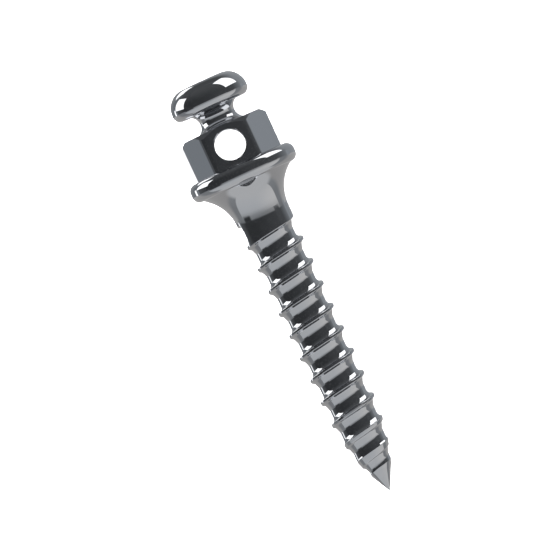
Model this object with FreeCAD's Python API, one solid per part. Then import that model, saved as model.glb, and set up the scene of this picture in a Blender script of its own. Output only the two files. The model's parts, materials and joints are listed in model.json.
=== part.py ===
"""Orthodontic mini screw, turned, milled and threaded from one bar of titanium alloy.

The screw is built standing on its axis: +Z points to the head, Z = 0 is the underside of the
flange, the wire hole runs along Y, and its front faces -Y. Then it is laid down as it comes to
rest, on the rim of its flange and one crest of its thread, with the wire hole pointing up and
a little to one side. A round screw rests on any side, so that roll is free.
All sizes are millimetres.
"""
import FreeCAD, Part
import math
import os

# Head button
button_diameter = 2.31
button_thickness = 0.84
button_crown_radius = 0.57
button_lower_radius = 0.23

# Neck groove, where a ligature or an elastic is tied
neck_diameter = 1.07
neck_groove_width = 0.56
neck_groove_radius = 0.31

# Hexagon for the driver
hex_across_flats = 2.34
hex_across_corners = 2.65
hex_height = 1.19
hex_chamfer_width = 0.14
hex_chamfer_angle = 45.0

# Wire hole through the middle of the hexagon
wire_hole_diameter = 0.90

# Flange and the collar that flares up to it
flange_diameter = 3.23
flange_thickness = 0.55
flange_rim_radius = 0.22
collar_length = 1.05
collar_flare_radius = 1.25

# Shank: tapered body, curved nose and point
shank_diameter = 1.60
shank_end_diameter = 1.50
shank_length = 5.89
nose_length = 2.00
point_diameter = 0.78
point_length = 0.76

# Thread: one right-handed groove
thread_pitch = 0.70
thread_depth = 0.155
thread_crest = 0.075
upper_wall_angle = 34.0
upper_wall_depth = 0.115
ramp_angle = 16.0
lower_wall_angle = 15.0
thread_start_drop = 0.29
thread_start_angle = -149.0
thread_fade_drop = 0.10
thread_end_gap = 0.50

# Roll of the screw about its own axis as it lies, from the wire hole pointing straight up
resting_roll = 13.6

# Length by which a cutting tool stands out of what it cuts
overcut = 0.10
wall_overcut = 0.005

# Levels along the axis
flange_top = flange_thickness
hex_top = flange_top + hex_height
button_bottom = hex_top + neck_groove_width
head_top = button_bottom + button_thickness
shank_top = -collar_length
nose_top = shank_top - shank_length
point_top = nose_top - nose_length
tip = point_top - point_length

button_radius = button_diameter / 2
neck_radius = neck_diameter / 2
hex_corner_radius = hex_across_corners / 2
flange_radius = flange_diameter / 2
shank_radius = shank_diameter / 2
shank_end_radius = shank_end_diameter / 2
point_radius = point_diameter / 2

shank_slope = (shank_radius - shank_end_radius) / shank_length


def vec(radius, height):
    """Point of the turned outline, in the plane of X and Z."""
    return FreeCAD.Vector(radius, 0, height)


def line(start, end):
    return Part.LineSegment(start, end).toShape()


def quarter_arc(start, centre, end):
    """Quarter of a circle between two outline points, bulging away from its centre."""
    middle = centre + (start + end - centre * 2).normalize() * (start - centre).Length
    return Part.Arc(start, middle, end).toShape()


def nose_arc_radius():
    """Radius of the arc that leaves the shank's taper smoothly and ends at the point's base."""
    drop = nose_length
    inset = shank_end_radius - point_radius
    along = math.cos(math.atan(shank_slope))
    across = math.sin(math.atan(shank_slope))
    return (drop ** 2 + inset ** 2) / (2 * abs(along * inset - across * drop))


def blank_radius(height):
    """Radius of the unthreaded shank, nose or point at a height along the axis."""
    if height >= nose_top:
        return shank_radius - shank_slope * (shank_top - height)
    if height >= point_top:
        angle = math.atan(shank_slope)
        radius = nose_arc_radius()
        centre_radius = shank_end_radius - radius * math.cos(angle)
        centre_height = nose_top + radius * math.sin(angle)
        return centre_radius + math.sqrt(radius ** 2 - (centre_height - height) ** 2)
    return point_radius * (height - tip) / point_length


def turned_blank():
    """The whole screw as the lathe leaves it, before milling and threading."""
    # Head button: flat top, round crown, round lower edge, flat underside
    crown_start = vec(button_radius - button_crown_radius, head_top)
    crown_centre = vec(button_radius - button_crown_radius, head_top - button_crown_radius)
    crown_end = vec(button_radius, head_top - button_crown_radius)
    lower_start = vec(button_radius, button_bottom + button_lower_radius)
    lower_centre = vec(button_radius - button_lower_radius, button_bottom + button_lower_radius)
    lower_end = vec(button_radius - button_lower_radius, button_bottom)

    # Neck: a round groove between the button and the hexagon
    groove_centre = neck_radius + neck_groove_radius
    groove_edge = groove_centre - math.sqrt(neck_groove_radius ** 2 - (neck_groove_width / 2) ** 2)
    groove_upper = vec(groove_edge, button_bottom)
    groove_middle = vec(neck_radius, (button_bottom + hex_top) / 2)
    groove_lower = vec(groove_edge, hex_top)

    # Turned collar that the hexagon is milled from, with a chamfered top edge
    chamfer_drop = hex_chamfer_width * math.tan(math.radians(hex_chamfer_angle))
    chamfer_top = vec(hex_corner_radius - hex_chamfer_width, hex_top)
    chamfer_bottom = vec(hex_corner_radius, hex_top - chamfer_drop)
    hex_foot = vec(hex_corner_radius, flange_top)

    # Flange with a round rim
    rim_inner = flange_radius - flange_rim_radius
    rim_top = vec(rim_inner, flange_top)
    rim_top_centre = vec(rim_inner, flange_top - flange_rim_radius)
    rim_upper = vec(flange_radius, flange_top - flange_rim_radius)
    rim_lower = vec(flange_radius, flange_rim_radius)
    rim_bottom_centre = vec(rim_inner, flange_rim_radius)
    rim_bottom = vec(rim_inner, 0)

    # Collar: a concave flare from the flange down to the shank
    def flare(depth):
        rise = collar_length - depth
        reach = collar_flare_radius - math.sqrt(collar_flare_radius ** 2 - rise ** 2)
        return vec(shank_radius + reach, -depth)

    collar_top = flare(0)
    collar_middle = flare(collar_length / 2)
    collar_bottom = flare(collar_length)

    # Shank, nose and point
    nose_start = vec(shank_end_radius, nose_top)
    nose_middle = vec(blank_radius(nose_top - nose_length / 2), nose_top - nose_length / 2)
    nose_end = vec(point_radius, point_top)

    edges = [
        line(vec(0, head_top), crown_start),
        quarter_arc(crown_start, crown_centre, crown_end),
        line(crown_end, lower_start),
        quarter_arc(lower_start, lower_centre, lower_end),
        line(lower_end, groove_upper),
        Part.Arc(groove_upper, groove_middle, groove_lower).toShape(),
        line(groove_lower, chamfer_top),
        line(chamfer_top, chamfer_bottom),
        line(chamfer_bottom, hex_foot),
        line(hex_foot, rim_top),
        quarter_arc(rim_top, rim_top_centre, rim_upper),
        line(rim_upper, rim_lower),
        quarter_arc(rim_lower, rim_bottom_centre, rim_bottom),
        line(rim_bottom, collar_top),
        Part.Arc(collar_top, collar_middle, collar_bottom).toShape(),
        line(collar_bottom, nose_start),
        Part.Arc(nose_start, nose_middle, nose_end).toShape(),
        line(nose_end, vec(0, tip)),
        line(vec(0, tip), vec(0, head_top)),
    ]
    outline = Part.Face(Part.Wire(edges))
    return outline.revolve(FreeCAD.Vector(0, 0, 0), FreeCAD.Vector(0, 0, 1), 360)


def milling_ring():
    """What the cutter takes off the turned collar to leave the hexagon."""
    flat_distance = hex_across_flats / 2
    sharp_corner_radius = flat_distance / math.cos(math.radians(30))
    corners = []
    for index in range(7):
        angle = math.radians(60 * index)
        corner = FreeCAD.Vector(
            sharp_corner_radius * math.cos(angle), sharp_corner_radius * math.sin(angle), flange_top)
        corners.append(corner)
    hexagon = Part.Face(Part.makePolygon(corners))
    cutter_height = hex_height + neck_groove_width / 2
    prism = hexagon.extrude(FreeCAD.Vector(0, 0, cutter_height))
    disc = Part.makeCylinder(sharp_corner_radius + overcut, cutter_height, FreeCAD.Vector(0, 0, flange_top))
    return disc.cut(prism)


def wire_hole():
    """Straight hole from the front flat of the hexagon to the back flat."""
    start = FreeCAD.Vector(0, -hex_corner_radius - overcut, (flange_top + hex_top) / 2)
    length = 2 * (hex_corner_radius + overcut)
    return Part.makeCylinder(wire_hole_diameter / 2, length, start, FreeCAD.Vector(0, 1, 0))


# Thread path: the middle of the groove's floor
thread_top = shank_top - thread_start_drop
thread_bottom = tip + thread_end_gap
thread_turns = (thread_top - thread_bottom) / thread_pitch
fade_top = nose_top - thread_fade_drop


def groove_depth(height):
    """Depth of the groove: full on the shank, fading out along the nose."""
    if height >= fade_top:
        return thread_depth
    faded = (fade_top - height) / (fade_top - thread_bottom)
    return thread_depth * (1 - faded)


def path_point(turns):
    """Point on the middle of the groove's floor after a number of turns from its start."""
    height = thread_top - thread_pitch * turns
    radius = blank_radius(height) - groove_depth(height)
    angle = math.radians(thread_start_angle) - 2 * math.pi * turns
    return FreeCAD.Vector(radius * math.cos(angle), radius * math.sin(angle), height)


def path_tangent(turns):
    step = 0.001
    return (path_point(turns + step) - path_point(turns - step)) / (2 * step)


def groove_path():
    """Helix with a changing radius, as one smooth curve for each half turn."""
    points_per_span = 4
    span_count = math.ceil(thread_turns * 2)
    span = thread_turns / span_count
    edges = []
    for index in range(span_count):
        start = index * span
        points = [path_point(start + span * step / points_per_span) for step in range(points_per_span + 1)]
        curve = Part.BSplineCurve()
        curve.interpolate(
            Points=points,
            InitialTangent=path_tangent(start) * span,
            FinalTangent=path_tangent(start + span) * span)
        edges.append(curve.toShape())
    return Part.Wire(edges)


def groove_profile():
    """Section of the groove in the plane of the axis, at the start of its path.

    Its upper wall faces the tip, leans outwards and runs out in a shallow ramp to the
    floor. Its lower wall, which faces the head, is steep. Both walls reach a little past the
    crest before they turn straight outwards.
    """
    half_mouth = (thread_pitch - thread_crest) / 2
    upper_lean = math.tan(math.radians(upper_wall_angle))
    lower_lean = math.tan(math.radians(lower_wall_angle))
    ramp_run = (thread_depth - upper_wall_depth) / math.tan(math.radians(ramp_angle))
    start_radius = blank_radius(thread_top)
    angle = math.radians(thread_start_angle)

    def point(rise, level):
        """Point by its rise above the crest and its level above the middle of the groove."""
        radius = start_radius + rise
        return FreeCAD.Vector(radius * math.cos(angle), radius * math.sin(angle), thread_top + level)

    upper_mouth = half_mouth + wall_overcut * upper_lean
    lower_mouth = -half_mouth - wall_overcut * lower_lean
    ramp_top = half_mouth - upper_wall_depth * upper_lean
    return Part.makePolygon([
        point(overcut, upper_mouth),
        point(wall_overcut, upper_mouth),
        point(-upper_wall_depth, ramp_top),
        point(-thread_depth, ramp_top - ramp_run),
        point(-thread_depth, -half_mouth + thread_depth * lower_lean),
        point(wall_overcut, lower_mouth),
        point(overcut, lower_mouth),
        point(overcut, upper_mouth),
    ])


def thread_groove():
    """Solid that the thread cutter sweeps out, from its plunge near the collar to the point."""
    sweep = Part.BRepOffsetAPI.MakePipeShell(groove_path())
    sweep.setBiNormalMode(FreeCAD.Vector(0, 0, 1))
    sweep.add(groove_profile())
    sweep.build()
    sweep.makeSolid()
    return sweep.shape()


def resting_tilt():
    """Angle between the axis and the floor when the flange's rim and a crest both touch it."""
    rim_radius = flange_radius - flange_rim_radius
    rim_height = flange_rim_radius
    # From the groove's start to the first place where it faces the floor
    turns_to_floor = (thread_start_angle + 270 + resting_roll) % 360 / 360
    tilts = []
    for turn in range(math.floor(thread_turns)):
        crest = thread_top - thread_pitch * (turn + turns_to_floor + 0.5)
        for edge in (crest - thread_crest / 2, crest + thread_crest / 2):
            if edge <= point_top:
                continue
            across = rim_radius - blank_radius(edge)
            along = rim_height - edge
            reach = math.hypot(across, along)
            tilts.append(math.atan2(across, along) + math.asin(flange_rim_radius / reach))
    return math.degrees(min(tilts))


def laid_down(screw):
    """The screw at rest: head towards -X, touching Z = 0, its box centred on the origin."""
    placed = screw.copy()
    origin = FreeCAD.Vector(0, 0, 0)
    placed.rotate(origin, FreeCAD.Vector(0, 0, 1), resting_roll)
    placed.rotate(origin, FreeCAD.Vector(1, 0, 0), -90)
    placed.rotate(origin, FreeCAD.Vector(0, 0, 1), 90)
    placed.rotate(origin, FreeCAD.Vector(0, 1, 0), resting_tilt())
    box = placed.optimalBoundingBox(False, False)
    placed.translate(FreeCAD.Vector(-box.Center.x, -box.Center.y, -box.ZMin))
    return placed


screw = turned_blank().cut(milling_ring()).cut(wire_hole()).cut(thread_groove())
mini_screw = laid_down(screw.Solids[0])

os.makedirs("parts", exist_ok=True)
mini_screw.exportStep("parts/mini_screw.step")
print("solids", len(screw.Solids), "valid", mini_screw.isValid())
print("volume", round(mini_screw.Volume, 3), "mm3, tilt", round(resting_tilt(), 2), "degrees")
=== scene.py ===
# %% [markdown]
# # An orthodontic mini screw
# The screw is one piece of titanium alloy, about 13 mm long. The first cell loads the packed
# model, which fixes where everything is.

# %% Load the frame
import bpy
import json
import math
import numpy as np
from mathutils import Matrix, Vector


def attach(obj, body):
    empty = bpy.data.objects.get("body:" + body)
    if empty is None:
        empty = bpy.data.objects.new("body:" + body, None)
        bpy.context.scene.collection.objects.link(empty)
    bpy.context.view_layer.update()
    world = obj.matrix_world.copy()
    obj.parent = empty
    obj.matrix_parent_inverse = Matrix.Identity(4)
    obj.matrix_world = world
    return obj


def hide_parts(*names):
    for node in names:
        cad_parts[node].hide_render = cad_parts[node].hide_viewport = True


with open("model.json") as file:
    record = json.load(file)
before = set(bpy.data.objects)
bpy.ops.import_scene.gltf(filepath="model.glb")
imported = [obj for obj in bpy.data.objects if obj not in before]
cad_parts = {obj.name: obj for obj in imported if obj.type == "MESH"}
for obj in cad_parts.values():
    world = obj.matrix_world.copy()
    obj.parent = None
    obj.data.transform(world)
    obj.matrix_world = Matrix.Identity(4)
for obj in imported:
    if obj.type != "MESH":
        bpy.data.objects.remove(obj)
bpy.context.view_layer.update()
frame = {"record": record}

# %% [markdown]
# The screw lies on its side. The record names two of its own directions: the axis of the wire
# hole, which points out of the front flat of the hexagon, and the axis of the hexagon, which
# points to the head. The third one, to the right of the front flat, follows from them.

# %% The screw's own directions
mounts = {mount["name"]: mount for mount in frame["record"]["mounts"]}
front = Vector(mounts["wire_hole"]["axis"]).normalized()
headward = Vector(mounts["driver_hexagon"]["axis"]).normalized()
rightward = headward.cross(front).normalized()
hexagon_middle = Vector(mounts["wire_hole"]["pos_m"])
print("front", front, "headward", headward)

# %% [markdown]
# The modelling is done as on a bench: the screw stands upright, one unit is one millimetre, Z
# runs up to the head, and Z = 0 is the underside of the flange. The front flat faces -Y.
# These are the sizes of the real piece.

# %% Sizes in millimetres
FLANGE_TOP = 0.55
HEX_TOP = 1.74
HEX_MIDDLE = (FLANGE_TOP + HEX_TOP) / 2
BUTTON_BOTTOM = 2.30
HEAD_TOP = 3.14
BUTTON_RADIUS = 1.16
NECK_RADIUS = 0.535
COLLAR_END = -1.05
NOSE_TOP = -6.94
POINT_TOP = -8.94
TIP = -9.70
SHANK_RADIUS = 0.80
SHANK_END_RADIUS = 0.75
POINT_RADIUS = 0.39
FLARE_RADIUS = 1.25
STEPS = 96  # divisions of a full turn


# %% [markdown]
# A few small helpers do what the hand does all the time: they select nothing or just some faces,
# lay out an arc, and draw an outline by pulling one vertex from place to place.

# %% Helpers for drawing
def deselect_all():
    if bpy.context.object and bpy.context.object.mode == "EDIT":
        bpy.ops.object.mode_set(mode="OBJECT")
    bpy.ops.object.select_all(action="DESELECT")


def arc(centre, radius, start, end, pieces):
    """Points of an arc in the outline's plane, with angles in degrees."""
    points = []
    for index in range(pieces + 1):
        angle = math.radians(start + (end - start) * index / pieces)
        points.append((centre[0] + radius * math.cos(angle), centre[1] + radius * math.sin(angle)))
    return points


def select_faces(target, wanted):
    """Enters edit mode with just the faces selected whose index is wanted."""
    deselect_all()
    bpy.context.view_layer.objects.active = target
    target.select_set(True)
    bpy.ops.object.mode_set(mode="EDIT")
    bpy.ops.mesh.select_mode(type="FACE")
    bpy.ops.mesh.select_all(action="DESELECT")
    bpy.ops.object.mode_set(mode="OBJECT")
    for index in wanted:
        target.data.polygons[index].select = True
    bpy.ops.object.mode_set(mode="EDIT")


def draw_outline(name, points):
    """Leaves a line of vertices in edit mode, drawn in the plane of X and Z."""
    deselect_all()
    bpy.ops.mesh.primitive_plane_add(size=0.1, location=(0, 0, 0))
    drawn = bpy.context.object
    drawn.name = name
    bpy.ops.object.mode_set(mode="EDIT")
    bpy.ops.mesh.select_all(action="SELECT")
    bpy.ops.mesh.merge(type="CENTER")
    bpy.ops.transform.translate(value=(points[0][0], 0, points[0][1]))
    for before, after in zip(points, points[1:]):
        move = (after[0] - before[0], 0, after[1] - before[1])
        bpy.ops.mesh.extrude_region_move(TRANSFORM_OT_translate={"value": move})
    return drawn


print("helpers ready")

# %% [markdown]
# The part above the thread is turned on a lathe, so its outline is drawn once and spun about
# the axis. The button has a wide crown and a tight lower edge. Below it is the round neck
# groove, then the collar that the hexagon is milled from, the flange, and the flare. Next to
# each arc, a flat gets one more point, so that its mirror finish stays flat up to the arc.

# %% Outline of the head
CROWN_RADIUS = 0.57
BUTTON_EDGE_RADIUS = 0.23
NECK_GROOVE_RADIUS = 0.31
HEX_CORNER_RADIUS = 1.316
CHAMFER = 0.14
FLANGE_RADIUS = 1.615
RIM_RADIUS = 0.22
SUPPORT = 0.012
SPLICE = -0.95

crown_centre = (BUTTON_RADIUS - CROWN_RADIUS, HEAD_TOP - CROWN_RADIUS)
edge_centre = (BUTTON_RADIUS - BUTTON_EDGE_RADIUS, BUTTON_BOTTOM + BUTTON_EDGE_RADIUS)
neck_centre = (NECK_RADIUS + NECK_GROOVE_RADIUS, (BUTTON_BOTTOM + HEX_TOP) / 2)
neck_half_angle = math.degrees(math.asin((BUTTON_BOTTOM - HEX_TOP) / 2 / NECK_GROOVE_RADIUS))
rim_centre = FLANGE_RADIUS - RIM_RADIUS
flare_centre = (SHANK_RADIUS + FLARE_RADIUS, COLLAR_END)
flare_top_angle = math.degrees(math.asin(-COLLAR_END / FLARE_RADIUS))
flare_end_angle = math.degrees(math.asin((SPLICE - COLLAR_END) / FLARE_RADIUS))
flare = arc(flare_centre, FLARE_RADIUS, 180 - flare_top_angle, 180 - flare_end_angle, 22)

head_outline = [(0, HEAD_TOP), (crown_centre[0] - SUPPORT, HEAD_TOP)]
head_outline += arc(crown_centre, CROWN_RADIUS, 90, 0, 20)
head_outline += arc(edge_centre, BUTTON_EDGE_RADIUS, 0, -90, 12)
head_outline += [(edge_centre[0] - SUPPORT, BUTTON_BOTTOM)]
head_outline += arc(neck_centre, NECK_GROOVE_RADIUS, 180 - neck_half_angle, 180 + neck_half_angle, 20)
head_outline += [
    (HEX_CORNER_RADIUS - CHAMFER, HEX_TOP),
    (HEX_CORNER_RADIUS, HEX_TOP - CHAMFER),
    (HEX_CORNER_RADIUS, FLANGE_TOP),
    (rim_centre - SUPPORT, FLANGE_TOP)]
head_outline += arc((rim_centre, FLANGE_TOP - RIM_RADIUS), RIM_RADIUS, 90, 0, 12)
head_outline += arc((rim_centre, RIM_RADIUS), RIM_RADIUS, 0, -90, 12)
head_outline += flare
head_outline += [(0, SPLICE)]
print("outline points", len(head_outline))

# %% [markdown]
# Spin turns a line of vertices about an axis, as a lathe turns the bar under the tool. The last
# copy falls on the first, so doubles are merged, and the normals are made to point outwards.


# %% Spin the head
def spin_outline(name, points):
    drawn = draw_outline(name, points)
    bpy.ops.mesh.select_all(action="SELECT")
    bpy.ops.mesh.spin(steps=STEPS, angle=2 * math.pi, center=(0, 0, 0), axis=(0, 0, 1))
    bpy.ops.mesh.select_all(action="SELECT")
    bpy.ops.mesh.remove_doubles(threshold=0.0001)
    bpy.ops.mesh.normals_make_consistent(inside=False)
    bpy.ops.object.mode_set(mode="OBJECT")
    return drawn


screw = spin_outline("screw", head_outline)
print("turned head", len(screw.data.polygons), "faces")

# %% [markdown]
# The hexagon is milled out of the turned collar. The cutter is modelled as the waste: a ring
# whose opening is the hexagon. Polishing rolls the flats off a little towards the upright
# corners, so each side of the opening bends back slightly near its ends. A boolean takes
# the ring off the turned collar, and what the collar lacks leaves the narrow corner lands.

# %% Mill the hexagon
FLAT_DISTANCE = 1.171
ROLL_OFF_WIDTH = 0.24
ROLL_OFF_ANGLES = (1.5, 3.0, 4.5)
CUTTER_RADIUS = 1.7


def hexagon_opening():
    """Corner points of the milled opening, flat by flat, with the rolled-off ends of each flat."""
    half = [(0.0, 0.0)]
    corner_half_width = FLAT_DISTANCE * math.tan(math.radians(30))
    start = corner_half_width - ROLL_OFF_WIDTH
    half.append((start, 0.0))
    step = ROLL_OFF_WIDTH / len(ROLL_OFF_ANGLES)
    for angle in ROLL_OFF_ANGLES:
        along, sunk = half[-1]
        half.append((along + step, sunk + step * math.tan(math.radians(angle))))
    side = [(-along, sunk) for along, sunk in reversed(half[1:])] + half[1:]
    points = []
    for flat in range(6):
        turn = math.radians(60 * flat - 90)
        for along, sunk in side:
            distance = FLAT_DISTANCE - sunk
            points.append((
                distance * math.cos(turn) - along * math.sin(turn),
                distance * math.sin(turn) + along * math.cos(turn)))
    return points


print("opening points", len(hexagon_opening()))


def cut_away(target, cutter):
    """Takes the cutter's solid off the target, and deletes the cutter."""
    deselect_all()
    bpy.context.view_layer.objects.active = target
    cut = target.modifiers.new("cut", "BOOLEAN")
    cut.operation = "DIFFERENCE"
    cut.solver = "MANIFOLD"
    cut.object = cutter
    bpy.ops.object.modifier_apply(modifier=cut.name)
    bpy.data.objects.remove(cutter)


def extruded(name, points, bottom, top):
    """Upright prism with this outline, made from a filled circle whose vertices are moved to it."""
    deselect_all()
    bpy.ops.mesh.primitive_circle_add(
        vertices=len(points), radius=1, fill_type="NGON", location=(0, 0, 0))
    prism = bpy.context.object
    prism.name = name
    for vertex, (x, y) in zip(prism.data.vertices, points):
        vertex.co = (x, y, bottom)
    bpy.ops.object.mode_set(mode="EDIT")
    bpy.ops.mesh.select_all(action="SELECT")
    bpy.ops.mesh.extrude_region_move(TRANSFORM_OT_translate={"value": (0, 0, top - bottom)})
    bpy.ops.mesh.select_all(action="SELECT")
    bpy.ops.mesh.normals_make_consistent(inside=False)
    bpy.ops.object.mode_set(mode="OBJECT")
    return prism


CUTTER_TOP = HEX_TOP + 0.25
waste = extruded("waste", [
    (CUTTER_RADIUS * math.cos(math.radians(10 * k)), CUTTER_RADIUS * math.sin(math.radians(10 * k)))
    for k in range(36)], FLANGE_TOP, CUTTER_TOP)
kept_core = extruded("kept_core", hexagon_opening(), FLANGE_TOP - 0.3, CUTTER_TOP + 0.3)
cut_away(waste, kept_core)
cut_away(screw, waste)
print("milled head", len(screw.data.polygons), "faces")

# %% [markdown]
# The wire hole goes straight through the front and back flats. A drilled and polished hole has
# a narrow broken edge, so the cutter is a cylinder that widens a little where it leaves the
# flats. It is spun from an outline like the head, and turned to lie along Y.

# %% Drill the wire hole
HOLE_RADIUS = 0.45
HOLE_EDGE = 0.02
BIT_REACH = 0.2  # how far the cutter stands out of the flats


def drill():
    reach = FLAT_DISTANCE + BIT_REACH
    outline = [(0, reach), (HOLE_RADIUS + HOLE_EDGE + BIT_REACH, reach)]
    outline += [(HOLE_RADIUS + HOLE_EDGE, FLAT_DISTANCE), (HOLE_RADIUS, FLAT_DISTANCE - HOLE_EDGE)]
    outline += [(radius, -height) for radius, height in reversed(outline)]
    bit = spin_outline("bit", outline)
    bpy.ops.object.select_all(action="DESELECT")
    bit.select_set(True)
    bpy.context.view_layer.objects.active = bit
    lay_along_y = Matrix.Rotation(math.radians(90), 4, "X")
    bit.data.transform(Matrix.Translation((0, 0, HEX_MIDDLE)) @ lay_along_y)
    return bit


cut_away(screw, drill())
print("drilled head", len(screw.data.polygons), "faces")

# %% [markdown]
# The thread is one groove that runs round the shank. A flat ribbon is laid out as a grid: its
# length is the way round the screw, its width is one pitch. Then every cross line of the ribbon
# is laid onto the real section at its turn: crest, steep wall that faces the head, small ramp,
# floor, long shallow ramp, wall that faces the tip, crest. Neighbouring turns share their edges
# and merge.

# %% Sizes of the thread
PITCH = 0.70
DEPTH = 0.155
CREST = 0.075
MOUTH = (PITCH - CREST) / 2
LOWER_LEAN = 15.0
LOWER_WALL_DEPTH = 0.095
LOWER_RAMP = 33.0
UPPER_LEAN = 30.0
UPPER_WALL_DEPTH = 0.085
UPPER_RAMP = 21.5
EDGE_ROUNDING = 0.012
THREAD_TOP = COLLAR_END - 0.29
THREAD_BOTTOM = TIP + 0.50
START_ANGLE = -149.0
RUN_IN = 12.0
FADE_TOP = NOSE_TOP - 0.10
POINT_CUT = TIP + 0.03

shank_slope = (SHANK_RADIUS - SHANK_END_RADIUS) / (COLLAR_END - NOSE_TOP)
lean = math.atan(shank_slope)
nose_drop = NOSE_TOP - POINT_TOP
nose_inset = SHANK_END_RADIUS - POINT_RADIUS
nose_radius = (nose_drop ** 2 + nose_inset ** 2) / (
    2 * (math.cos(lean) * nose_inset - math.sin(lean) * nose_drop))


def blank_radius(height):
    """Radius of the unthreaded flare, shank, nose or point."""
    if height >= COLLAR_END:
        rise = height - COLLAR_END
        return SHANK_RADIUS + FLARE_RADIUS - math.sqrt(FLARE_RADIUS ** 2 - rise ** 2)
    if height >= NOSE_TOP:
        return SHANK_RADIUS - shank_slope * (COLLAR_END - height)
    if height >= POINT_TOP:
        centre_radius = SHANK_END_RADIUS - nose_radius * math.cos(lean)
        centre_height = NOSE_TOP + nose_radius * math.sin(lean)
        return centre_radius + math.sqrt(nose_radius ** 2 - (centre_height - height) ** 2)
    return POINT_RADIUS * (height - TIP) / (POINT_TOP - TIP)


print("nose radius", round(nose_radius, 3))

# %% [markdown]
# The groove's section is drawn once, flat: straight walls and ramps, with each corner between
# them rounded by its own radius, as the thread mill leaves them.

# %% Section of the groove
SECTION_RISE = 0.05  # how far the section reaches out of the blank
CORNER_RADII = (0.03, 0.17, 0.26, 0.05)  # from the lower wall's foot to the upper wall's


def fillet(before, corner, after, radius, pieces=10):
    """Points of the arc that rounds a corner between two straight lines."""
    into = (before - corner) / np.linalg.norm(before - corner)
    out = (after - corner) / np.linalg.norm(after - corner)
    half = math.acos(np.clip(into @ out, -1, 1)) / 2
    centre = corner + (into + out) / np.linalg.norm(into + out) * radius / math.sin(half)
    start = corner + into * radius / math.tan(half) - centre
    end = corner + out * radius / math.tan(half) - centre
    sweep = math.pi - 2 * half
    points = []
    for part in np.linspace(0, 1, pieces + 1):
        spoke = start * math.sin((1 - part) * sweep) + end * math.sin(part * sweep)
        points.append(centre + spoke / math.sin(sweep))
    return points


def groove_section():
    """Line of (level, depth) points across the groove, from above its lower to above its upper edge."""
    lower = math.tan(math.radians(LOWER_LEAN))
    upper = math.tan(math.radians(UPPER_LEAN))
    lower_foot = -MOUTH + LOWER_WALL_DEPTH * lower
    upper_foot = MOUTH - UPPER_WALL_DEPTH * upper
    corners = np.array([
        (-MOUTH - SECTION_RISE * lower, -SECTION_RISE),
        (lower_foot, LOWER_WALL_DEPTH),
        (lower_foot + (DEPTH - LOWER_WALL_DEPTH) / math.tan(math.radians(LOWER_RAMP)), DEPTH),
        (upper_foot - (DEPTH - UPPER_WALL_DEPTH) / math.tan(math.radians(UPPER_RAMP)), DEPTH),
        (upper_foot, UPPER_WALL_DEPTH),
        (MOUTH + SECTION_RISE * upper, -SECTION_RISE)])
    line = [corners[0]]
    for index, radius in enumerate(CORNER_RADII, 1):
        line += fillet(corners[index - 1], corners[index], corners[index + 1], radius)
    line.append(corners[-1])
    return np.array(line)


SECTION = groove_section()
print("section points", len(SECTION))

# %% [markdown]
# On the nose the cutter backs out of the metal, so the groove gets shallower and narrower and
# the crest wider, as on the real screw. For each cross line the code finds where the cutter's
# section comes out of the blank, rounds those two edges, and spreads the points between them.

# %% One cross line
INSIDE = 32  # points between the two rounded edges
ROUND = 4  # divisions of a rounded edge
LAND = 3  # points on each half of the crest


def backed_out(turns):
    """How far the cutter stands off its full depth after a number of turns."""
    height = THREAD_TOP - PITCH * turns
    run_in = RUN_IN / 360
    if turns < 0:
        return DEPTH
    if turns < run_in:
        return DEPTH * (1 + math.cos(math.pi * turns / run_in)) / 2
    if height >= FADE_TOP:
        return 0.0
    return min(DEPTH, DEPTH * (FADE_TOP - height) / (FADE_TOP - THREAD_BOTTOM))


def rounded(corner, before, after):
    """Points of a rounded corner, between a point before it and a point after it."""
    points = []
    for part in np.linspace(0, 1, ROUND + 1):
        first = corner + (before - corner) * (1 - part)
        second = corner + (after - corner) * part
        points.append(first * (1 - part) + second * part)
    return points


def cross_line(turns):
    """Points (radius, height) across one pitch, from its lower to its upper edge."""
    middle = THREAD_TOP - PITCH * turns
    off = backed_out(turns)
    base = blank_radius(middle) + off
    heights = middle + SECTION[:, 0]
    cutter = base - SECTION[:, 1]
    blank = np.array([blank_radius(height) for height in heights])
    inside = np.where(cutter < blank - 0.0004)[0]
    cuts = off < DEPTH - 0.001 and len(inside) > 2
    if not cuts:
        low, high = -0.10, 0.05
    else:
        first, last = inside[0], inside[-1]

        def crossing(outer, inner):
            gap_out = cutter[outer] - blank[outer]
            gap_in = cutter[inner] - blank[inner]
            part = gap_out / (gap_out - gap_in)
            return SECTION[outer, 0] + (SECTION[inner, 0] - SECTION[outer, 0]) * part

        low = crossing(first - 1, first)
        high = crossing(last + 1, last)
    bottom, top = -PITCH / 2, PITCH / 2

    def on_blank(level):
        return np.array([blank_radius(middle + level), middle + level])

    def on_cutter(level):
        depth = np.interp(level, SECTION[:, 0], SECTION[:, 1])
        return np.array([base - depth, middle + level])

    if not cuts:
        on_cutter = on_blank
    # Lengths along the section from the lower crossing, so that steep walls get their share
    kept = (SECTION[:, 0] > low) & (SECTION[:, 0] < high)
    levels = np.concatenate([[low], SECTION[kept, 0], [high]])
    places = np.array([on_cutter(level) for level in levels])
    run = np.concatenate([[0], np.cumsum(np.hypot(*np.diff(places, axis=0).T))])
    total = run[-1]
    reach = min(EDGE_ROUNDING, total * 0.2)

    def along(distance):
        return on_cutter(np.interp(distance, run, levels))

    corner_low, corner_high = on_blank(low), on_blank(high)
    land_low = max(low - reach, bottom + 0.004)
    land_high = min(high + reach, top - 0.004)
    points = [on_blank(level) for level in np.linspace(bottom, land_low, LAND)]
    points += rounded(corner_low, on_blank(land_low), along(reach))[1:-1]
    points += [along(distance) for distance in np.linspace(reach, total - reach, INSIDE)]
    points += rounded(corner_high, along(total - reach), on_blank(land_high))[1:-1]
    points += [on_blank(level) for level in np.linspace(land_high, top, LAND)]
    return points


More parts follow.
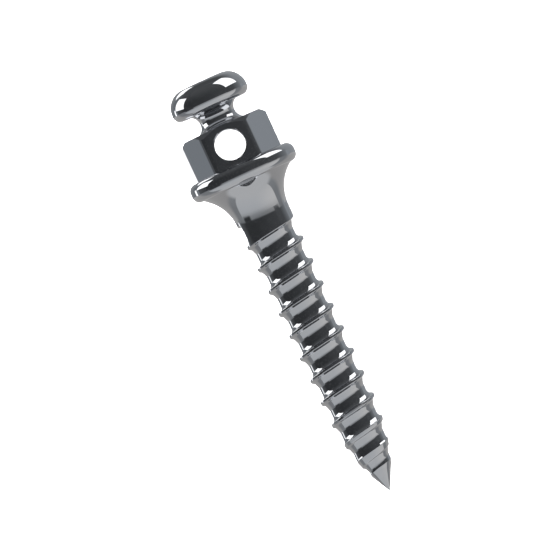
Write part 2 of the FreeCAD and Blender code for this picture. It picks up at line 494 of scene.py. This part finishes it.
print("points in a cross line", len(cross_line(3.0)))

# %% [markdown]
# Now the ribbon itself: a grid with one row for each step round the screw. It is long enough to
# pass both ends of the thread, and what goes past them is gathered onto a level circle there.

# %% Wrap the ribbon
first_step = -math.ceil(((SPLICE - THREAD_TOP) / PITCH + 0.52) * STEPS)
last_step = math.ceil(((THREAD_TOP - POINT_CUT) / PITCH + 0.52) * STEPS)
width = len(cross_line(3.0)) - 1
length = last_step - first_step
deselect_all()
bpy.ops.mesh.primitive_grid_add(
    x_subdivisions=width, y_subdivisions=length, size=1, location=(0, 0, 0))
ribbon = bpy.context.object
ribbon.name = "thread"
places = np.zeros(len(ribbon.data.vertices) * 3)
ribbon.data.vertices.foreach_get("co", places)
places = places.reshape(-1, 3)
across = np.rint((places[:, 0] + 0.5) * width).astype(int)
down = np.rint((places[:, 1] + 0.5) * length).astype(int)
step_angle = 360 / STEPS
start_step = math.ceil(START_ANGLE / step_angle)
for row in range(length + 1):
    angle = (start_step - first_step - row) * step_angle
    turns = (START_ANGLE - angle) / 360
    line = np.array(cross_line(turns))
    too_high = line[:, 1] > SPLICE
    too_low = line[:, 1] < POINT_CUT
    line[too_high] = (blank_radius(SPLICE), SPLICE)
    line[too_low] = (blank_radius(POINT_CUT), POINT_CUT)
    chosen = np.where(down == row)[0]
    radius = line[across[chosen], 0]
    places[chosen, 0] = radius * math.cos(math.radians(angle))
    places[chosen, 1] = radius * math.sin(math.radians(angle))
    places[chosen, 2] = line[across[chosen], 1]
ribbon.data.vertices.foreach_set("co", places.ravel())
ribbon.data.update()
print("ribbon", len(ribbon.data.polygons), "faces")

# %% [markdown]
# The ribbon's turns are merged into one skin. Its ends were flattened onto two level circles:
# the upper one fits the flare of the head, and the lower one is closed with the sharp point.

# %% Join the thread to the head
deselect_all()
bpy.context.view_layer.objects.active = ribbon
ribbon.select_set(True)
bpy.ops.object.mode_set(mode="EDIT")
bpy.ops.mesh.select_all(action="SELECT")
bpy.ops.mesh.remove_doubles(threshold=0.0002)
bpy.ops.mesh.dissolve_degenerate(threshold=0.0001)
bpy.ops.mesh.select_all(action="DESELECT")
bpy.ops.mesh.select_non_manifold()
bpy.ops.object.mode_set(mode="OBJECT")
for vertex in ribbon.data.vertices:
    vertex.select = vertex.select and vertex.co.z < POINT_CUT + 0.001
for edge in ribbon.data.edges:
    edge.select = all(ribbon.data.vertices[index].select for index in edge.vertices)
bpy.ops.object.mode_set(mode="EDIT")
bpy.ops.mesh.select_mode(type="VERT")
bpy.ops.mesh.extrude_region_move(TRANSFORM_OT_translate={"value": (0, 0, (TIP - POINT_CUT) * 0.7)})
bpy.ops.mesh.merge(type="CENTER")
bpy.ops.object.mode_set(mode="OBJECT")

select_faces(screw, [
    polygon.index for polygon in screw.data.polygons
    if polygon.normal.z < -0.99 and abs(polygon.center.z - SPLICE) < 0.0005])
bpy.ops.mesh.delete(type="FACE")
bpy.ops.object.mode_set(mode="OBJECT")
ribbon.select_set(True)
bpy.ops.object.join()
bpy.ops.object.mode_set(mode="EDIT")
bpy.ops.mesh.select_mode(type="VERT")
bpy.ops.mesh.select_all(action="SELECT")
bpy.ops.mesh.remove_doubles(threshold=0.0004)
bpy.ops.mesh.normals_make_consistent(inside=False)
bpy.ops.mesh.select_all(action="DESELECT")
bpy.ops.mesh.select_non_manifold()
bpy.ops.object.mode_set(mode="OBJECT")
print("open vertices", sum(vertex.select for vertex in screw.data.vertices))
triangles = sum(len(polygon.vertices) - 2 for polygon in screw.data.polygons)
print("screw", triangles, "triangles")

# %% [markdown]
# Polished metal shows every unevenness of the shading, so faces are smoothed only across soft
# angles, and the arrises of the hexagon and the rims stay crisp.

# %% Smooth the skin
deselect_all()
bpy.context.view_layer.objects.active = screw
screw.select_set(True)
bpy.ops.object.shade_smooth_by_angle(angle=math.radians(28))
print("sharp edges kept")

# %% [markdown]
# Now the screw is laid down: its bench frame is turned onto the directions of the record, its
# hexagon goes where the record says, and millimetres become metres.

# %% Lay the screw down
turn = Matrix((rightward, -front, headward)).transposed().to_4x4()
lay = (Matrix.Translation(hexagon_middle) @ turn @ Matrix.Scale(0.001, 4)
       @ Matrix.Translation((0, 0, -HEX_MIDDLE)))
screw.data.transform(lay)
screw.data.update()
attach(screw, "root")
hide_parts("mini_screw")
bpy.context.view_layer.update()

# %% [markdown]
# The finish is polished titanium. A metal has no colour under its shine, so its base colour is
# what it reflects. A slight waviness comes from bump, and the polish is a little uneven in
# roughness.

# %% Polished titanium
metal = bpy.data.materials.new("polished_titanium")
metal.use_nodes = True
nodes = metal.node_tree.nodes
links = metal.node_tree.links
shader = nodes["Principled BSDF"]
shader.inputs["Base Color"].default_value = (0.60, 0.61, 0.63, 1)
shader.inputs["Metallic"].default_value = 1.0
place = nodes.new("ShaderNodeTexCoord")
polish = nodes.new("ShaderNodeTexNoise")
polish.inputs["Scale"].default_value = 900
polish.inputs["Detail"].default_value = 3
spread = nodes.new("ShaderNodeMapRange")
spread.inputs["To Min"].default_value = 0.02
spread.inputs["To Max"].default_value = 0.045
links.new(place.outputs["Object"], polish.inputs["Vector"])
links.new(polish.outputs["Fac"], spread.inputs["Value"])
links.new(spread.outputs["Result"], shader.inputs["Roughness"])
waves = nodes.new("ShaderNodeTexNoise")
waves.inputs["Scale"].default_value = 1400
waves.inputs["Detail"].default_value = 2
bump = nodes.new("ShaderNodeBump")
bump.inputs["Strength"].default_value = 0.05
bump.inputs["Distance"].default_value = 0.00001
links.new(place.outputs["Object"], waves.inputs["Vector"])
links.new(waves.outputs["Fac"], bump.inputs["Height"])
links.new(bump.outputs["Normal"], shader.inputs["Normal"])
screw.data.materials.clear()
screw.data.materials.append(metal)
print("metal ready")

# %% [markdown]
# The floor is a large pale sheet. Shiny metal would mirror it, so it is hidden from reflections,
# and the studio that the metal mirrors is painted in the world instead.

# %% Floor
FLOOR_SIZE = 0.6

deselect_all()
bpy.ops.mesh.primitive_plane_add(size=FLOOR_SIZE, location=(0, 0, 0))
floor = bpy.context.object
floor.name = "floor"
floor.visible_glossy = False
paper = bpy.data.materials.new("pale_paper")
paper.use_nodes = True
sheet = paper.node_tree.nodes["Principled BSDF"]
sheet.inputs["Base Color"].default_value = (0.93, 0.93, 0.93, 1)
sheet.inputs["Roughness"].default_value = 0.9
sheet.inputs["Specular IOR Level"].default_value = 0.0
floor.data.materials.append(paper)
print("floor ready")

# %% [markdown]
# The metal mirrors a studio that is painted in the world. It is painted by the direction that a
# reflection looks in, so the first tools make a direction's share towards one side, one step of
# arithmetic, and light that shows in the metal as a wanted grey.

# %% Light by direction
METAL = 0.61  # share of the light that the metal mirrors

world = bpy.data.worlds.new("studio")
bpy.context.scene.world = world
world.use_nodes = True
nodes = world.node_tree.nodes
links = world.node_tree.links
nodes.clear()
look = nodes.new("ShaderNodeTexCoord")


def grey(value, tint=0):
    """Colour of light whose mirror image in the metal shows as this 0 to 255 grey, tinted blue."""
    channels = []
    for shift in (-tint / 2, 0, tint / 2):
        shown = max(value + shift, 0) / 255
        channels.append(((shown + 0.055) / 1.055) ** 2.4 / METAL)
    return (*channels, 1)


def toward(direction):
    """Cosine between the looked-at direction and this one."""
    dot = nodes.new("ShaderNodeVectorMath")
    dot.operation = "DOT_PRODUCT"
    dot.inputs[1].default_value = direction
    links.new(look.outputs["Generated"], dot.inputs[0])
    return dot.outputs["Value"]


def combine(operation, first, second=None):
    """One step of arithmetic on sockets or numbers."""
    step = nodes.new("ShaderNodeMath")
    step.operation = operation
    for index, value in enumerate((first, second)):
        if isinstance(value, (int, float)):
            step.inputs[index].default_value = value
        elif value is not None:
            links.new(value, step.inputs[index])
    return step.outputs["Value"]


azimuth = combine("DEGREES", combine("ARCTAN2", toward(rightward), toward(front)))
elevation = combine("DEGREES", combine("ARCSINE", toward(headward)))
off_front = combine("ABSOLUTE", azimuth)
print("directions ready")

# %% [markdown]
# Places in the studio are bearings in degrees: round the screw from the front flat towards the
# right, and up towards the head. These tools make a colour that changes with a bearing, masks
# with soft edges for upright panels and four-sided lights, and lay colours over each other.


# %% Panels and lights
def ramp(value, *stops):
    """Colour that follows a value in degrees through stops of (degrees, grey, tint)."""
    low, high = stops[0][0], stops[-1][0]
    part = nodes.new("ShaderNodeMapRange")
    part.inputs["From Min"].default_value = low
    part.inputs["From Max"].default_value = high
    links.new(value, part.inputs["Value"])
    colours = nodes.new("ShaderNodeValToRGB")
    links.new(part.outputs["Result"], colours.inputs["Fac"])
    elements = colours.color_ramp.elements
    elements.remove(elements[1])
    for index, (degrees, shown, tint) in enumerate(stops):
        place = (degrees - low) / (high - low)
        element = elements[0] if index == 0 else elements.new(place)
        element.position = place
        element.color = grey(shown, tint)
    return colours.outputs["Color"]


def step_up(value, low, high):
    """Mask that is 0 below low, 1 above high and smooth between."""
    edge = nodes.new("ShaderNodeMapRange")
    edge.interpolation_type = "SMOOTHSTEP"
    edge.inputs["From Min"].default_value = low
    edge.inputs["From Max"].default_value = high
    links.new(value, edge.inputs["Value"])
    return edge.outputs["Result"]


def panel(left, right, bottom, top, soft=2.0):
    """Mask of an upright panel between two bearings and two heights, with soft edges."""
    across = combine(
        "MULTIPLY", step_up(azimuth, left - soft, left + soft),
        combine("SUBTRACT", 1, step_up(azimuth, right - soft, right + soft)))
    upright = combine(
        "MULTIPLY", step_up(elevation, bottom - soft, bottom + soft),
        combine("SUBTRACT", 1, step_up(elevation, top - soft, top + soft)))
    return combine("MULTIPLY", across, upright)


def bearing(degrees_round, degrees_up):
    """Unit direction in the scene of a bearing."""
    around, up = math.radians(degrees_round), math.radians(degrees_up)
    return (front * math.cos(around) * math.cos(up)
            + rightward * math.sin(around) * math.cos(up)
            + headward * math.sin(up))


def softbox(corners, soft):
    """Mask of a four-sided light whose corners are bearings, in turn as seen from the screw."""
    directions = [bearing(*corner) for corner in corners]
    mask = 1
    for this, following in zip(directions, directions[1:] + directions[:1]):
        side = this.cross(following).normalized()
        mask = combine("MULTIPLY", mask, step_up(toward(side), -soft, soft))
    return mask


def lay(under, mask, over):
    """The under colour, covered by the over colour where the mask is 1."""
    mix = nodes.new("ShaderNodeMix")
    mix.data_type = "RGBA"
    links.new(mask, mix.inputs["Factor"])
    for colour, socket in ((under, mix.inputs[6]), (over, mix.inputs[7])):
        if isinstance(colour, tuple):
            socket.default_value = colour
        else:
            links.new(colour, socket)
    return mix.outputs[2]


print("panels ready")

# %% [markdown]
# Above the middle, towards the head, the front of the room is dark and its two back corners are
# grey. Behind and overhead it goes dark again.

# %% Upper half of the room
front_high = ramp(
    azimuth, (-80, 42, 3), (-48, 43, 3), (-18, 46, 3), (0, 49, 3), (24, 55, 3), (60, 58, 3))
front_high = lay(front_high, step_up(elevation, 15, 75), grey(67, 3))
back_left = ramp(
    azimuth, (-180, 125, 3), (-150, 110, 5), (-138, 103, 6), (-126, 98, 5), (-114, 74, 4),
    (-100, 62, 3))
back_right = ramp(
    azimuth, (84, 72, 4), (96, 88, 5), (108, 104, 6), (120, 124, 6), (144, 130, 6), (180, 135, 4))
high = lay(back_left, step_up(azimuth, -100, -84), front_high)
high = lay(high, step_up(azimuth, 62, 92), back_right)
back_top = combine("MULTIPLY", step_up(elevation, 28, 60), step_up(off_front, 85, 110))
high = lay(high, back_top, grey(66, 3))
print("upper half painted")

# %% [markdown]
# Below the middle, towards the point, the front is a pale sheet that gets darker up to the
# middle. Darker strips stand at its two sides, and the back is a warmer grey.

# %% Lower half of the room
front_low = ramp(
    elevation, (-90, 168, 2), (-60, 164, 2), (-30, 160, 4), (-20, 156, 4), (-14, 143, 4),
    (-9, 129, 4), (-5, 117, 4), (-2, 106, 4))
front_low = lay(front_low, step_up(azimuth, -20, 80), ramp(
    elevation, (-90, 168, 0), (-60, 166, 0), (-30, 173, -2), (-20, 171, -2), (-14, 164, -2),
    (-9, 155, -1), (-5, 135, 0), (-2, 115, 0)))
back_low = ramp(elevation, (-60, 132, -2), (-30, 137, -2), (-12, 143, -2), (0, 152, 0))
strips = ramp(elevation, (-60, 122, 4), (-30, 112, 4), (-12, 113, 4), (-2, 106, 4))
low = lay(front_low, step_up(off_front, 86, 90), strips)
low = lay(low, step_up(off_front, 106, 128), back_low)
low = lay(low, step_up(elevation, -52, -62), grey(164, 1))
print("lower half painted")

# %% [markdown]
# The halves meet in a crisp line, with two dark patches just under it at the front corners.
# Three softboxes and one narrow light make the white highlights. Two small grey panels face the
# side flats of the hexagon, which as mirrors show only what lies straight across from them.

# %% Softboxes and panels
SOFTBOX_EDGE = 0.012
WHITE = (2.0, 2.0, 2.0, 1)
RIGHT_SOFTBOX = [(61, 19.5), (108, 16), (121, 56), (61, 69)]
LEFT_SOFTBOX = [(-123, 8.5), (-84, 7.5), (-84, 47), (-123, 41)]
BACK_SOFTBOX = [(-172, 30), (-143, 31), (-143, 49), (-170, 49)]

room = lay(low, step_up(elevation, -2.6, -1.6), high)
room = lay(room, panel(-84, -52, -10, 1, 5), grey(44, 3))
room = lay(room, panel(56, 80, -5, 1, 3), grey(66, 3))
for corners in (RIGHT_SOFTBOX, LEFT_SOFTBOX, BACK_SOFTBOX):
    room = lay(room, softbox(corners, SOFTBOX_EDGE), WHITE)
room = lay(room, panel(-132, -125, -2.5, 10, 1.5), WHITE)
room = lay(room, panel(-124, -116, -6, 4.5, 1), grey(114, 8))
room = lay(room, panel(114, 126, -6, 4.5, 1), grey(128, 8))
print("room painted")

# %% [markdown]
# Only the metal's reflections see the painted room. The floor is lit by an even white fill, bright
# enough to leave hardly any shadow. The Light Path node tells the two kinds of rays apart.

# %% Hang the studio in the world
FILL = 5.0

shine = nodes.new("ShaderNodeBackground")
links.new(room, shine.inputs["Color"])
fill = nodes.new("ShaderNodeBackground")
fill.inputs["Color"].default_value = (1, 1, 1, 1)
fill.inputs["Strength"].default_value = FILL
kind = nodes.new("ShaderNodeLightPath")
choice = nodes.new("ShaderNodeMixShader")
links.new(kind.outputs["Is Glossy Ray"], choice.inputs["Fac"])
links.new(fill.outputs["Background"], choice.inputs[1])
links.new(shine.outputs["Background"], choice.inputs[2])
out = nodes.new("ShaderNodeOutputWorld")
links.new(choice.outputs["Shader"], out.inputs["Surface"])
print("studio nodes", len(nodes))

# %% [markdown]
# The camera looks straight at the front flat, from far away with a very long lens, so that the
# wire hole shows hardly any wall and all turns of the thread catch the light alike. The screw's axis
# stands at 24.8 degrees to the upright of the picture, with the head at the upper left.

# %% Camera
PICTURE_LEAN = math.radians(24.77)
PICTURE_WIDTH = 15.93
LENS = 800
SENSOR = 36
FROM_HEAD_TOP = 6.077
TO_THE_RIGHT = -0.326
distance = LENS / SENSOR * PICTURE_WIDTH / 1000
head_top = hexagon_middle + headward * (HEAD_TOP - HEX_MIDDLE) / 1000
target = head_top - headward * FROM_HEAD_TOP / 1000 + rightward * TO_THE_RIGHT / 1000
picture_up = rightward * math.sin(PICTURE_LEAN) + headward * math.cos(PICTURE_LEAN)
picture_right = rightward * math.cos(PICTURE_LEAN) - headward * math.sin(PICTURE_LEAN)
camera_data = bpy.data.cameras.new("camera")
camera_data.lens = LENS
camera_data.sensor_width = SENSOR
camera_data.clip_start = 0.001
camera_data.clip_end = 10
camera = bpy.data.objects.new("camera", camera_data)
bpy.context.scene.collection.objects.link(camera)
pose = Matrix((picture_right, picture_up, front)).transposed().to_4x4()
camera.matrix_world = Matrix.Translation(target + front * distance) @ pose
bpy.context.scene.camera = camera
bpy.context.scene.view_settings.view_transform = "Standard"
print("camera at", camera.location)
